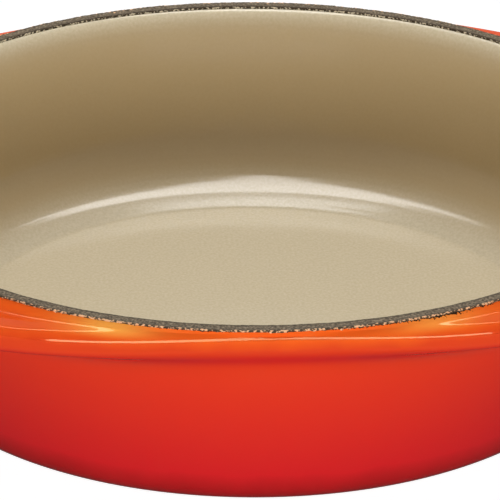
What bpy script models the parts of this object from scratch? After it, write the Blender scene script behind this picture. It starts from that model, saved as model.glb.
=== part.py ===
"""A tarte tatin dish: a round, shallow dish of enamelled cast iron with two lug handles.

The bowl, the band under its rim and both handles are one iron casting. A matt ground coat wraps the
whole casting and stays bare on the rim. Three glossy cover coats lie on it: a sand coloured one inside,
a graded orange one outside and a dark red one under the base. Every coat is a closed shell of its own.

The model is in metres, +Z up, and the handles point along X. The origin is the middle of the base, on
the surface that the dish stands on.
"""

import math

import bpy
import numpy as np

MM = 0.001

# Overall sizes of the finished dish, whose band and handles reach out past its rim
DISH_HEIGHT = 65.5 * MM
RIM_RADIUS = 130.0 * MM
RIM_WIDTH = 4.0 * MM
BAND_REACH = 1.0 * MM
HANDLE_REACH = 24.0 * MM
OUTLINE_POWER = 2.3

# The bowl
WALL_DRAFT = math.radians(16.4)
WALL_THICKNESS = 5.2 * MM
FLOOR_THICKNESS = 5.5 * MM
FLOOR_FILLET = 22.0 * MM
BASE_CORNER = 6.0 * MM
STANDING_RING_WIDTH = 12.0 * MM
RECESS_SLOPE = 2.0 * MM
RECESS_DEPTH = 0.8 * MM

# The bare rim, and where the cover coats start below it
RIM_ROUNDING = 0.6 * MM
BARE_RIM_HEIGHT = 0.6 * MM
REBATE_STEP = 0.15 * MM

# The coats, and the gap that is left between one solid and the next
CLEARANCE = 0.3 * MM
COVER_COAT = 0.35 * MM
GROUND_COAT = 0.25 * MM

# The band's section at the front of the dish, from the start of its cover coat downwards
BAND_SHOULDER_FALL = 0.35 * MM
BAND_EDGE_RUN = 0.9 * MM
BAND_EDGE_FALL = 2.0 * MM
BAND_FACE_HEIGHT = 5.0 * MM
BAND_LOWER_EDGE_RUN = 1.6 * MM
BAND_LOWER_EDGE_FALL = 1.8 * MM
BAND_HOLLOW_FALL = 1.6 * MM

# The handle's section at its tip, in the same order
HANDLE_SHOULDER_FALL = 3.45 * MM
HANDLE_EDGE_RUN = 3.2 * MM
HANDLE_EDGE_FALL = 3.1 * MM
HANDLE_FACE_HEIGHT = 3.2 * MM
HANDLE_LOWER_EDGE_RUN = 3.4 * MM
HANDLE_LOWER_EDGE_FALL = 2.4 * MM
HANDLE_HOLLOW_FALL = 8.8 * MM
HANDLE_ONSET = 2.6

# Bare spots that the kiln's pins leave under the base
PIN_COUNT = 3
PIN_RADIUS = 1.6 * MM
PIN_CIRCLE = 72.0 * MM
PIN_START = math.radians(75.0)

# Colours and roughness of the materials
IRON_COLOUR = (0.16, 0.16, 0.17)
IRON_ROUGHNESS = 0.6
IRON_METALLIC = 0.9
GROUND_COLOUR = (0.05, 0.05, 0.048)
GROUND_ROUGHNESS = 0.8
SAND_COLOUR = (0.55, 0.44, 0.28)
SAND_ROUGHNESS = 0.3
ORANGE_COLOUR = (0.75, 0.08, 0.02)
ORANGE_ROUGHNESS = 0.15
RED_COLOUR = (0.25, 0.012, 0.012)
RED_ROUGHNESS = 0.25

# Fineness of the meshes
SEGMENTS = 36
PIN_SIDES = 12
CURVE_STEPS = 4
FILLET_STEPS = 5
BEZIER_PULL = 0.55
WELD_DISTANCE = 0.01 * MM
SMOOTH_ANGLE = math.radians(40.0)

# Where the cover coats may start, the hidden faces' depths, and half the outline's length and width
COAT_TOP = DISH_HEIGHT - BARE_RIM_HEIGHT
GROUND_FACE = COVER_COAT + CLEARANCE
GROUND_BACK = GROUND_FACE + GROUND_COAT
IRON_FACE = GROUND_BACK + CLEARANCE
IRON_TOP = GROUND_COAT + CLEARANCE
HALF_WIDTH = RIM_RADIUS + BAND_REACH
HALF_LENGTH = RIM_RADIUS + HANDLE_REACH


def clear_scene():
    """Removes every object that the scene starts with."""
    for thing in list(bpy.data.objects):
        bpy.data.objects.remove(thing, do_unlink=True)


def new_collection(name):
    """A collection of that name, linked to the scene."""
    group = bpy.data.collections.new(name)
    bpy.context.scene.collection.children.link(group)
    return group


def new_material(name, colour, roughness, metallic=0.0):
    """A Principled BSDF material with a colour, roughness and metallic value."""
    material = bpy.data.materials.new(name)
    material.use_nodes = True
    shader = material.node_tree.nodes["Principled BSDF"]
    shader.inputs["Base Color"].default_value = (*colour, 1.0)
    shader.inputs["Roughness"].default_value = roughness
    shader.inputs["Metallic"].default_value = metallic
    material.diffuse_color = (*colour, 1.0)
    return material


def azimuths():
    """The direction of each section round the dish's axis, from +X."""
    return np.arange(SEGMENTS) * (2.0 * math.pi / SEGMENTS)


def outline_radius(angle):
    """How far the band's and the handles' outer face stands from the axis.

    The outline is a superellipse: as long as the handles reach, as wide as the band."""
    along = np.abs(np.cos(angle)) / HALF_LENGTH
    across = np.abs(np.sin(angle)) / HALF_WIDTH
    return (along**OUTLINE_POWER + across**OUTLINE_POWER) ** (-1.0 / OUTLINE_POWER)


def handle_share(reach):
    """How much of the handle's section a place with that radius has: 0 at the front, 1 at the tip."""
    part = np.clip((reach - HALF_WIDTH) / (HALF_LENGTH - HALF_WIDTH), 0.0, 1.0)
    return 1.0 - (1.0 - part) ** HANDLE_ONSET


def mix(front, tip, share):
    """A value between the band's at the front and the handle's at its tip."""
    return front + (tip - front) * share


def points(radius, height):
    """Radius and height side by side, as one array of section points."""
    radius, height = np.broadcast_arrays(radius, height)
    return np.stack([radius, height], axis=-1)


def bezier(start, pull_start, pull_end, end, steps):
    """The points of a cubic curve after its start, for every section at once."""
    share = (np.arange(1, steps + 1) / steps)[None, :, None]
    rest = 1.0 - share
    start, pull_start, pull_end, end = (p[:, None, :] for p in (start, pull_start, pull_end, end))
    return (
        rest**3 * start
        + 3.0 * rest**2 * share * pull_start
        + 3.0 * rest * share**2 * pull_end
        + share**3 * end
    )


def inner_wall_radius(height):
    """The finished inner wall's radius at a height: a cone that opens upwards from the floor."""
    return RIM_RADIUS - RIM_WIDTH - (COAT_TOP - height) * math.tan(WALL_DRAFT)


def outer_wall_radius(height):
    """The finished outer wall's radius at a height, one wall thickness outside the inner wall."""
    return inner_wall_radius(height) + WALL_THICKNESS / math.cos(WALL_DRAFT)


def wall_arc(wall_radius, level, rounding, growth, steps):
    """An arc from a drafted wall to a level floor or base, from the wall inwards.

    wall_radius is where the wall would meet the level if there were no arc. growth moves the arc
    away from its centre, to a deeper face inside the bowl, or towards it, to one under the base."""
    turn = math.pi / 2.0 - WALL_DRAFT
    centre = wall_radius - rounding * math.tan(turn / 2.0)
    angle = turn * (1.0 - np.arange(steps + 1) / steps)
    reach = rounding + growth
    return points(centre + reach * np.sin(angle), level + rounding - reach * np.cos(angle))


def softened(length, depth):
    """The run or fall of a rounded edge at a depth: it shrinks with the depth, but never to nothing."""
    return length * length / (length + depth)


def crown(half_width, top_depth, rounding):
    """The rim's top edge from its inner side to its outer side, level in the middle."""
    middle = RIM_RADIUS - RIM_WIDTH / 2.0
    top = DISH_HEIGHT - top_depth
    bevel = rounding * (1.0 - math.cos(math.radians(45.0)))
    outer = points(
        middle + np.array([half_width - rounding, half_width - bevel]),
        np.array([top, top - bevel]),
    )
    inner = outer[::-1] * [-1.0, 1.0] + [2.0 * middle, 0.0]
    return np.concatenate([inner, points([middle], [top]), outer])


def rim_side(depth, bare):
    """Heights and depths of the points on the rim's side, from the cover coats' start upwards.

    A bare rim steps out from the face under the coats to the finished surface."""
    falls = [REBATE_STEP + CLEARANCE, REBATE_STEP, 0.0] if bare else [REBATE_STEP + CLEARANCE]
    depths = [depth, depth, 0.0] if bare else [depth]
    return COAT_TOP - np.array(falls), np.array(depths)


def inside_section(depth=0.0, bare=False):
    """The inside from the edge of the flat floor up the wall, at a depth under the finished surface."""
    sharp = inner_wall_radius(FLOOR_THICKNESS)
    fillet = wall_arc(sharp, FLOOR_THICKNESS, FLOOR_FILLET, depth, FILLET_STEPS)[::-1]
    heights, depths = rim_side(depth, bare)
    wall = points(inner_wall_radius(heights) + depths / math.cos(WALL_DRAFT), heights)
    return np.concatenate([fillet, wall])


def lip_section(depth=0.0, bare=False):
    """The rim's outer side, downwards to where the outer cover coat starts."""
    heights, depths = rim_side(depth, bare)
    return points(RIM_RADIUS - depths, heights)[::-1]


def band_sections(angle, depth=0.0):
    """The outside from the rim to the foot of the band or handle, one section for each direction.

    A concave shoulder runs from the rim to the top of the band or handle, a rounded edge turns down
    to its upright face, a second edge turns under it, and a concave curve leads back to the wall."""
    outline = outline_radius(angle)
    share = handle_share(outline)
    reach = outline - depth
    full_edge_fall = mix(BAND_EDGE_FALL, HANDLE_EDGE_FALL, share)
    full_lower_fall = mix(BAND_LOWER_EDGE_FALL, HANDLE_LOWER_EDGE_FALL, share)
    edge_run = softened(mix(BAND_EDGE_RUN, HANDLE_EDGE_RUN, share), depth)
    edge_fall = softened(full_edge_fall, depth)
    lower_run = softened(mix(BAND_LOWER_EDGE_RUN, HANDLE_LOWER_EDGE_RUN, share), depth)
    lower_fall = softened(full_lower_fall, depth)

    start_radius, start_height = lip_section(depth)[-1]
    crest = start_height - mix(BAND_SHOULDER_FALL, HANDLE_SHOULDER_FALL, share)
    face_span = full_edge_fall + mix(BAND_FACE_HEIGHT, HANDLE_FACE_HEIGHT, share) + full_lower_fall
    belly = crest - face_span
    hollow_end = belly - mix(BAND_HOLLOW_FALL, HANDLE_HOLLOW_FALL, share)

    start = np.broadcast_to(points(start_radius, start_height), (len(angle), 2))
    top = points(reach - edge_run, crest - depth)
    face = points(reach, crest - depth - edge_fall)
    foot = points(reach, belly + depth + lower_fall)
    under = points(reach - lower_run, belly + depth)
    wall = points(outer_wall_radius(hollow_end), hollow_end)
    wall = wall + depth * np.array([-math.cos(WALL_DRAFT), math.sin(WALL_DRAFT)])

    out = points(BEZIER_PULL, 0.0)
    up = points(0.0, BEZIER_PULL)
    lean = points(math.sin(WALL_DRAFT), math.cos(WALL_DRAFT)) * BEZIER_PULL
    shoulder = bezier(
        start,
        start - up * (start - top)[:, 1:],
        top - out * (top - start)[:, :1],
        top,
        CURVE_STEPS,
    )
    edge = bezier(top, top + out * edge_run[:, None], face + up * edge_fall[:, None], face, CURVE_STEPS)
    lower_edge = bezier(
        foot,
        foot - up * lower_fall[:, None],
        under + out * lower_run[:, None],
        under,
        CURVE_STEPS - 1,
    )
    hollow = bezier(
        under,
        under - out * (under - wall)[:, :1],
        wall + lean * (under - wall)[:, 1:],
        wall,
        CURVE_STEPS,
    )
    return np.concatenate([shoulder, edge, foot[:, None], lower_edge, hollow], axis=1)


def corner_section(depth=0.0):
    """The arc between the outer wall and the base."""
    return wall_arc(outer_wall_radius(0.0), 0.0, BASE_CORNER, -depth, CURVE_STEPS)


def recess_section(depth=0.0):
    """The inner edge of the standing ring, and the edge of the recess inside it."""
    mitre = depth * math.tan(math.atan2(RECESS_DEPTH, RECESS_SLOPE) / 2.0)
    ring = corner_section()[-1, 0] - STANDING_RING_WIDTH + mitre
    return points([ring, ring - RECESS_SLOPE], [depth, RECESS_DEPTH + depth])


def join_sections(*parts):
    """Sections joined end to end. A part without directions is the same in each of them."""
    parts = [np.broadcast_to(p, (SEGMENTS, *p.shape[-2:])) for p in parts]
    return np.concatenate(parts, axis=1)


def turn_round(sections, angle):
    """Section points put round the axis: an array of sections by points by x, y and z."""
    x = sections[..., 0] * np.cos(angle)[:, None]
    y = sections[..., 0] * np.sin(angle)[:, None]
    return np.stack([x, y, sections[..., 1]], axis=-1)


def layer(depth, top_depth, bare):
    """One face between coats, from the floor's middle, over the rim and the handles, to the base's middle.

    depth is how far it lies inside the finished surface, and top_depth the same under the rim's top.
    A bare rim's sides are the finished surface itself."""
    angle = azimuths()
    half_width = RIM_WIDTH / 2.0 - (0.0 if bare else depth)
    sections = join_sections(
        inside_section(depth, bare),
        crown(half_width, top_depth, min(RIM_ROUNDING, half_width / 2.0)),
        lip_section(depth, bare),
        band_sections(angle, depth),
        corner_section(depth),
        recess_section(depth),
    )
    return turn_round(sections, angle)


def grid_mesh(name, grid, closed_ends):
    """A mesh of four-sided faces on a grid that goes once round the axis.

    With closed_ends, a fan of triangles to a point on the axis closes each end."""
    turns, count, _ = grid.shape
    corners = [tuple(p) for p in grid.reshape(-1, 3)]
    faces = []
    for i in range(turns):
        j = (i + 1) % turns
        for k in range(count - 1):
            faces.append((i * count + k, i * count + k + 1, j * count + k + 1, j * count + k))
    if closed_ends:
        first, last = len(corners), len(corners) + 1
        corners.append((0.0, 0.0, grid[0, 0, 2]))
        corners.append((0.0, 0.0, grid[0, -1, 2]))
        for i in range(turns):
            j = (i + 1) % turns
            faces.append((first, i * count, j * count))
            faces.append((last, j * count + count - 1, i * count + count - 1))
    mesh = bpy.data.meshes.new(name)
    mesh.from_pydata(corners, [], faces)
    mesh.update()
    return mesh


def join_meshes(name, first, second):
    """One mesh that holds the faces of two, which it replaces."""
    corners = [tuple(v.co) for v in first.vertices] + [tuple(v.co) for v in second.vertices]
    shift = len(first.vertices)
    faces = [tuple(p.vertices) for p in first.polygons]
    faces += [tuple(v + shift for v in p.vertices) for p in second.polygons]
    bpy.data.meshes.remove(first)
    bpy.data.meshes.remove(second)
    mesh = bpy.data.meshes.new(name)
    mesh.from_pydata(corners, [], faces)
    mesh.update()
    return mesh


def add_part(name, mesh, material, group):
    """An object for a mesh, in its collection, with its material and smooth round faces."""
    part = bpy.data.objects.new(name, mesh)
    group.objects.link(part)
    mesh.materials.append(material)
    if mesh.polygons:
        mesh.shade_smooth()
        mesh.set_sharp_from_angle(angle=SMOOTH_ANGLE)
    return part


def add_screw(part):
    """Turns a profile once round the axis, with the same segments as the casting."""
    screw = part.modifiers.new("turned", "SCREW")
    screw.axis = "Z"
    screw.angle = 2.0 * math.pi
    screw.steps = SEGMENTS
    screw.render_steps = SEGMENTS
    screw.use_merge_vertices = True
    screw.merge_threshold = WELD_DISTANCE
    screw.use_smooth_shade = True


def add_thickness(part, thickness):
    """Thickens an open surface into the material behind it."""
    shell = part.modifiers.new("coat thickness", "SOLIDIFY")
    shell.thickness = thickness
    shell.offset = -1.0
    shell.use_even_offset = True


def profile_mesh(name, section):
    """A mesh with one chain of edges, in the XZ plane at +X, for a Screw modifier."""
    corners = [(radius, 0.0, height) for radius, height in section]
    edges = [(i, i + 1) for i in range(len(corners) - 1)]
    mesh = bpy.data.meshes.new(name)
    mesh.from_pydata(corners, edges, [])
    return mesh


def build_casting(group):
    """The one iron casting: bowl, band, both handles and the standing ring under the base."""
    material = new_material("grey cast iron", IRON_COLOUR, IRON_ROUGHNESS, IRON_METALLIC)
    mesh = grid_mesh("cast_iron_body", layer(IRON_FACE, IRON_TOP, False), True)
    return add_part("cast_iron_body", mesh, material, group)


def build_ground_coat(group, pins):
    """The matt ground coat: a shell round the whole casting, bare on the rim.

    Its outer face steps back below the rim, to leave room for the cover coats."""
    material = new_material("matt ground coat", GROUND_COLOUR, GROUND_ROUGHNESS)
    mesh = grid_mesh("ground_coat", layer(GROUND_FACE, 0.0, True), True)
    back = grid_mesh("ground_coat_back", layer(GROUND_BACK, GROUND_COAT, False), True)
    back.flip_normals()
    joined = join_meshes("ground_coat", mesh, back)
    coat = add_part("ground_coat", joined, material, group)
    cut_pins(coat, pins)
    return coat


def build_inner_enamel(group):
    """The sand coloured cover coat that lines the bowl."""
    material = new_material("sand enamel", SAND_COLOUR, SAND_ROUGHNESS)
    middle = points([0.0], [FLOOR_THICKNESS])
    mesh = profile_mesh("inner_enamel", np.concatenate([middle, inside_section()]))
    coat = add_part("inner_enamel", mesh, material, group)
    add_screw(coat)
    add_thickness(coat, COVER_COAT)
    return coat


def build_outer_enamel(group):
    """The graded orange cover coat on the band, the handles and the outer wall."""
    material = new_material("graded orange enamel", ORANGE_COLOUR, ORANGE_ROUGHNESS)
    angle = azimuths()
    sections = join_sections(lip_section(), band_sections(angle), corner_section())
    mesh = grid_mesh("outer_enamel", turn_round(sections, angle), False)
    coat = add_part("outer_enamel", mesh, material, group)
    add_thickness(coat, COVER_COAT)
    return coat


def build_underside_enamel(group, pins):
    """The dark red cover coat under the base, with its standing ring and recess."""
    material = new_material("dark red enamel", RED_COLOUR, RED_ROUGHNESS)
    edge = corner_section()[-1:] - points(CLEARANCE, 0.0)
    middle = points([0.0], [RECESS_DEPTH])
    mesh = profile_mesh("underside_enamel", np.concatenate([edge, recess_section(), middle]))
    coat = add_part("underside_enamel", mesh, material, group)
    add_screw(coat)
    add_thickness(coat, COVER_COAT)
    cut_pins(coat, pins)
    return coat


def build_pins(group):
    """The cutters for the bare spots, which reach into the iron but not through it."""
    reach = RECESS_DEPTH + IRON_FACE + CLEARANCE
    pins = []
    for i in range(PIN_COUNT):
        angle = PIN_START + 2.0 * math.pi * i / PIN_COUNT
        bpy.ops.mesh.primitive_cylinder_add(
            vertices=PIN_SIDES,
            radius=PIN_RADIUS,
            depth=2.0 * reach,
            location=(PIN_CIRCLE * math.cos(angle), PIN_CIRCLE * math.sin(angle), 0.0),
            rotation=(0.0, 0.0, angle),
        )
        pin = bpy.context.object
        pin.name = f"kiln_pin_{i + 1}"
        pin.hide_render = True
        pin.display_type = "WIRE"
        for owner in list(pin.users_collection):
            owner.objects.unlink(pin)
        group.objects.link(pin)
        pins.append(pin)
    return pins


def cut_pins(part, pins):
    """Cuts every kiln pin out of a part."""
    for pin in pins:
        cut = part.modifiers.new(pin.name, "BOOLEAN")
        cut.operation = "DIFFERENCE"
        cut.solver = "EXACT"
        cut.object = pin


def main():
    """Builds the dish and its cutters."""
    clear_scene()
    dish = new_collection("tarte_tatin_dish")
    cutters = new_collection("cutters")
    pins = build_pins(cutters)
    build_casting(dish)
    build_ground_coat(dish, pins)
    build_inner_enamel(dish)
    build_outer_enamel(dish)
    build_underside_enamel(dish, pins)


main()
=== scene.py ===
"""Looks of a tarte tatin dish of enamelled cast iron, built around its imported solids.

Everything is in metres in the solids' own frame: +Z up, the handles along X, and the origin in the
middle of the base. A section is a row of (radius, height) points in one direction round the axis,
and a surface is one section for each direction.
"""

import logging
import math
from dataclasses import dataclass
from enum import Enum

import bpy
import numpy as np
from mathutils import Matrix, Vector


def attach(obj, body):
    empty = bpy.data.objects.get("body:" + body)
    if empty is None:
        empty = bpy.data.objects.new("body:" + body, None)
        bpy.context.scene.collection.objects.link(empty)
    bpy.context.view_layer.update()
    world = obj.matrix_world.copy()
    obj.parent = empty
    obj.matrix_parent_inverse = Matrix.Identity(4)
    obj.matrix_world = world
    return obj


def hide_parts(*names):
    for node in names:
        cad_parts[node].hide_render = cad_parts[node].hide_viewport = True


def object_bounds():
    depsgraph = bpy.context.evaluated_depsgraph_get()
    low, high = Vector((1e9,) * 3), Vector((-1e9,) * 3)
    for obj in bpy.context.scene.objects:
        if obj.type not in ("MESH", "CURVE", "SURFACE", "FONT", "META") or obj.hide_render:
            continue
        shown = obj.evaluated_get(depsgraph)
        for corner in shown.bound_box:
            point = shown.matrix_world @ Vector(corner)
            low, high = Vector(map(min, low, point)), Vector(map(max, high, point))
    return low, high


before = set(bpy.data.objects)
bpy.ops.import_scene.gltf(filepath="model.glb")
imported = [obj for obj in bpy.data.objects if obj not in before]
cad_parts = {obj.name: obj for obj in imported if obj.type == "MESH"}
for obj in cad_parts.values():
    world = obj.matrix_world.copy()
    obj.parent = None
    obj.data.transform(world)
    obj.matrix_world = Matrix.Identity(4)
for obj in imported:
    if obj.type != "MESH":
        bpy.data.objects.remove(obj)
solid_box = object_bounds()

MM = 0.001
FULL_TURN = 2.0 * math.pi
LOG = logging.getLogger("tarte_tatin_dish")
# Keeps a direction from being divided by a length of 0.
LEAST_LENGTH = 1e-12
# Numbers of the Mix node's colour sockets: the two that go in, and the one that comes out.
MIX_UNDER, MIX_OVER, MIX_RESULT = 6, 7, 2

Pair = tuple[float, float]
Tree = bpy.types.NodeTree
Socket = bpy.types.NodeSocket
Stops = tuple[tuple[float, str], ...]
Settings = tuple[tuple[str, object], ...]


class Closing(Enum):
    """How a surface of sections closes: as a ring, or at a pole on the axis at both ends."""

    RING = "ring"
    POLES = "poles"


class Kind(Enum):
    """The kinds of shader nodes in use, by Blender's names for them."""

    ADD_SHADER = "ShaderNodeAddShader"
    ATTRIBUTE = "ShaderNodeAttribute"
    BUMP = "ShaderNodeBump"
    DIFFUSE = "ShaderNodeBsdfDiffuse"
    EMISSION = "ShaderNodeEmission"
    LIGHT_PATH = "ShaderNodeLightPath"
    MAP_RANGE = "ShaderNodeMapRange"
    MATH = "ShaderNodeMath"
    MIX = "ShaderNodeMix"
    MIX_SHADER = "ShaderNodeMixShader"
    NOISE = "ShaderNodeTexNoise"
    PLACE = "ShaderNodeTexCoord"
    RAMP = "ShaderNodeValToRGB"
    SEPARATE = "ShaderNodeSeparateXYZ"
    VECTOR_MATH = "ShaderNodeVectorMath"


@dataclass(frozen=True)
class Surface:
    """Corners, and faces as rows of corner numbers."""

    corners: np.ndarray
    faces: list[list[int]]


def directions(count: int) -> np.ndarray:
    """Evenly spaced directions round the axis, from +X, in radians."""
    return np.arange(count) * (FULL_TURN / count)


def points(radius: np.ndarray, height: np.ndarray) -> np.ndarray:
    """Radius and height side by side, as section points."""
    radius, height = np.broadcast_arrays(radius, height)
    return np.stack([radius, height], axis=-1)


def smooth_step(value: np.ndarray, start: float = 0.0, end: float = 1.0) -> np.ndarray:
    """0 up to the start, 1 from the end on, and 3 s^2 - 2 s^3 at a share s of the way."""
    share = np.clip((value - start) / (end - start), 0.0, 1.0)
    return share * share * (3.0 - 2.0 * share)


def bell(value: np.ndarray) -> np.ndarray:
    """1 at 0, and less to both sides: exp(-v^2)."""
    return np.exp(-(value**2))


def between(pair: Pair, share: np.ndarray) -> np.ndarray:
    """A size at a share of the way from the first of a pair to the second."""
    return pair[0] + (pair[1] - pair[0]) * share


def running_sum(steps: np.ndarray) -> np.ndarray:
    """What the steps come to before each of them, and after the last one."""
    return np.concatenate([[0.0], np.cumsum(steps)])


def unit(vectors: np.ndarray) -> np.ndarray:
    """Vectors over their lengths."""
    return vectors / np.maximum(np.linalg.norm(vectors, axis=-1, keepdims=True), LEAST_LENGTH)


def rounded_path(
    corners: np.ndarray, roundings: np.ndarray, arc_steps: int, side_steps: int
) -> np.ndarray:
    """A path of straight sides with rounded corners, for every section at once.

    A corner C becomes the parabola from C - a u over C to C + b v, where u and v are the directions
    of the sides that meet there, and a and b are the lengths that its rounding takes of them.

    Args:
        corners: Sections by corners by (radius, height).
        roundings: Sections by inner corners by (a, b).
        arc_steps: Steps of each rounding.
        side_steps: Steps of each straight side.

    Returns:
        Sections by points by (radius, height).
    """
    side = unit(np.diff(corners, axis=1))
    arc_start = corners[:, 1:-1] - roundings[..., :1] * side[:, :-1]
    arc_end = corners[:, 1:-1] + roundings[..., 1:] * side[:, 1:]
    share = np.linspace(0.0, 1.0, arc_steps + 1)[:, None]
    arcs = (1.0 - share) ** 2 * arc_start[:, :, None] + share**2 * arc_end[:, :, None]
    arcs += 2.0 * share * (1.0 - share) * corners[:, 1:-1, None]
    leaving = np.concatenate([corners[:, :1], arc_end], axis=1)
    reaching = np.concatenate([arc_start, corners[:, -1:]], axis=1)
    along = np.linspace(0.0, 1.0, side_steps + 1)[:-1, None]
    sides = leaving[:, :, None] + (reaching - leaving)[:, :, None] * along
    parts = [sides[:, 0]]
    for number in range(arcs.shape[1]):
        parts += [arcs[:, number], sides[:, number + 1, 1:]]
    parts.append(corners[:, -1:])
    return np.concatenate(parts, axis=1)


def join_sections(count: int, *parts: np.ndarray) -> np.ndarray:
    """Sections joined end to end. A part that has one section serves all the directions."""
    return np.concatenate([np.broadcast_to(p, (count, *p.shape[-2:])) for p in parts], axis=1)


def section_normals(sections: np.ndarray) -> np.ndarray:
    """Unit normals of sections, to the left of the way that they run: (-dz, dr) over its length."""
    along = np.gradient(sections, axis=1)
    return unit(np.stack([-along[..., 1], along[..., 0]], axis=-1))


def grain(shape: tuple[int, int], sizes: Pair, seed: int) -> np.ndarray:
    """Smooth noise on a grid, with a deviation of 1, that closes on itself in both directions.

    White noise is blurred by a bell curve, exp(-2 pi^2 (s f)^2) at frequency f for each direction.

    Args:
        shape: Rows and columns of the grid.
        sizes: The bell's width s along rows and along columns, in grid steps.
        seed: Seed of the white noise.

    Returns:
        The noise, as an array of that shape.
    """
    noise = np.random.default_rng(seed).standard_normal(shape)
    rows = np.fft.fftfreq(shape[0])[:, None] * sizes[0]
    columns = np.fft.fftfreq(shape[1])[None, :] * sizes[1]
    blur = np.exp(-2.0 * math.pi**2 * (rows**2 + columns**2))
    blurred = np.fft.ifft2(np.fft.fft2(noise) * blur).real
    return (blurred - blurred.mean()) / blurred.std()


def outward_order(section: np.ndarray) -> bool:
    """Whether faces made along a closed section point outwards, by the sign of its area."""
    after = np.roll(section, -1, axis=0)
    return float((section[:, 0] * after[:, 1] - after[:, 0] * section[:, 1]).sum()) < 0.0


def round_surface(sections: np.ndarray, closing: Closing) -> Surface:
    """Sections set round the axis, x = r cos a and y = r sin a, and joined by outward faces.

    Args:
        sections: Directions by points by (radius, height). With POLES, the first and last points
            lie on the axis.
        closing: How the sections' ends close.

    Returns:
        A closed surface.
    """
    turns = len(sections)
    rows = sections[:, 1:-1] if closing is Closing.POLES else sections
    count = rows.shape[1]
    angle = directions(turns)[:, None]
    radius, height = rows[..., 0], rows[..., 1]
    corners = np.stack([radius * np.cos(angle), radius * np.sin(angle), height], axis=-1)
    corners = corners.reshape(-1, 3)
    here = np.arange(turns)[:, None] * count
    beside = np.roll(here, -1, axis=0)
    along = np.arange(count if closing is Closing.RING else count - 1)[None, :]
    ahead = (along + 1) % count
    faces = np.stack([here + along, here + ahead, beside + ahead, beside + along], axis=-1)
    faces = faces.reshape(-1, 4).tolist()
    if closing is Closing.POLES:
        poles = [[0.0, 0.0, sections[0, 0, 1]], [0.0, 0.0, sections[0, -1, 1]]]
        first = np.full_like(here, len(corners))
        last = count - 1
        corners = np.concatenate([corners, poles])
        faces += np.concatenate([first, here, beside], axis=1).tolist()
        faces += np.concatenate([first + 1, beside + last, here + last], axis=1).tolist()
    if not outward_order(sections[0]):
        faces = [face[::-1] for face in faces]
    return Surface(corners, faces)


def surface_mesh(name: str, *surfaces: Surface) -> bpy.types.Mesh:
    """Makes one smooth mesh.

    Args:
        name: The mesh's name.
        surfaces: Closed surfaces that don't share corners.

    Returns:
        The mesh.
    """
    corners, faces, used = [], [], 0
    for surface in surfaces:
        corners.append(surface.corners)
        faces += [[corner + used for corner in face] for face in surface.faces]
        used += len(surface.corners)
    mesh = bpy.data.meshes.new(name)
    mesh.from_pydata(np.concatenate(corners).tolist(), [], faces)
    mesh.update()
    mesh.shade_smooth()
    return mesh


def add_object(name: str, data: bpy.types.ID) -> bpy.types.Object:
    """Adds an object to the scene, at the origin.

    Args:
        name: The object's name.
        data: Its mesh, lamp or camera.

    Returns:
        The object.
    """
    added = bpy.data.objects.new(name, data)
    bpy.context.scene.collection.objects.link(added)
    return added


def add_piece(mesh: bpy.types.Mesh, node: str) -> bpy.types.Object:
    """Adds a piece of the dish, which rides on its one body.

    Args:
        mesh: The piece's mesh, which it is named after.
        node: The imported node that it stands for.

    Returns:
        The piece.
    """
    piece = add_object(mesh.name, mesh)
    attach(piece, "root")
    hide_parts(node)
    return piece


def set_attribute(mesh: bpy.types.Mesh, name: str, values: np.ndarray) -> None:
    """Stores one number for each corner of a mesh, for its material to read."""
    attribute = mesh.attributes.new(name, "FLOAT", "POINT")
    attribute.data.foreach_set("value", values.astype(np.float32).ravel())


def linear(colour: str) -> tuple[float, float, float, float]:
    """Turns a colour linear: c / 12.92 up to the toe, and ((c + 0.055) / 1.055)^2.4 past it.

    Args:
        colour: An sRGB hex colour, such as #C83020.

    Returns:
        Linear red, green and blue, and an alpha of 1.
    """
    toe, slope, offset, power, most = 0.04045, 12.92, 0.055, 2.4, 255.0
    channels = [channel / most for channel in bytes.fromhex(colour[1:])]
    values = [c / slope if c <= toe else ((c + offset) / (1.0 + offset)) ** power for c in channels]
    return (*values, 1.0)


def add_node(tree: Tree, kind: Kind, inputs: dict, **settings: object) -> bpy.types.Node:
    """Adds a shader node.

    Args:
        tree: The material's or world's node tree.
        kind: The node's kind.
        inputs: A value, or a socket to link from, for each input by its name or number.
        settings: The node's own properties. Here stops gives a colour ramp's positions with
            their sRGB hex colours.

    Returns:
        The node.
    """
    node = tree.nodes.new(kind.value)
    stops = settings.pop("stops", None)
    for name, value in settings.items():
        setattr(node, name, value)
    for name, value in inputs.items():
        if isinstance(value, Socket):
            tree.links.new(value, node.inputs[name])
        else:
            node.inputs[name].default_value = value
    if stops:
        elements = node.color_ramp.elements
        elements.remove(elements[-1])
        for number, (position, colour) in enumerate(stops):
            element = elements[0] if number == 0 else elements.new(position)
            element.position = position
            element.color = linear(colour)
    return node


def add_sheet(
    name: str, finish: str, corners: np.ndarray, faces: list[list[int]]
) -> tuple[bpy.types.Object, Tree]:
    """Adds a flat sheet of the studio, with a material that has only its output node.

    Args:
        name: The sheet's name.
        finish: The material's name.
        corners: The sheet's corners.
        faces: Its faces, as rows of corner numbers.

    Returns:
        The sheet, and its material's node tree.
    """
    mesh = bpy.data.meshes.new(name)
    mesh.from_pydata(corners.tolist(), [], faces)
    sheet = add_object(name, mesh)
    material = bpy.data.materials.new(finish)
    material.use_nodes = True
    tree = material.node_tree
    tree.nodes.remove(tree.nodes["Principled BSDF"])
    mesh.materials.append(material)
    return sheet, tree


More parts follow.
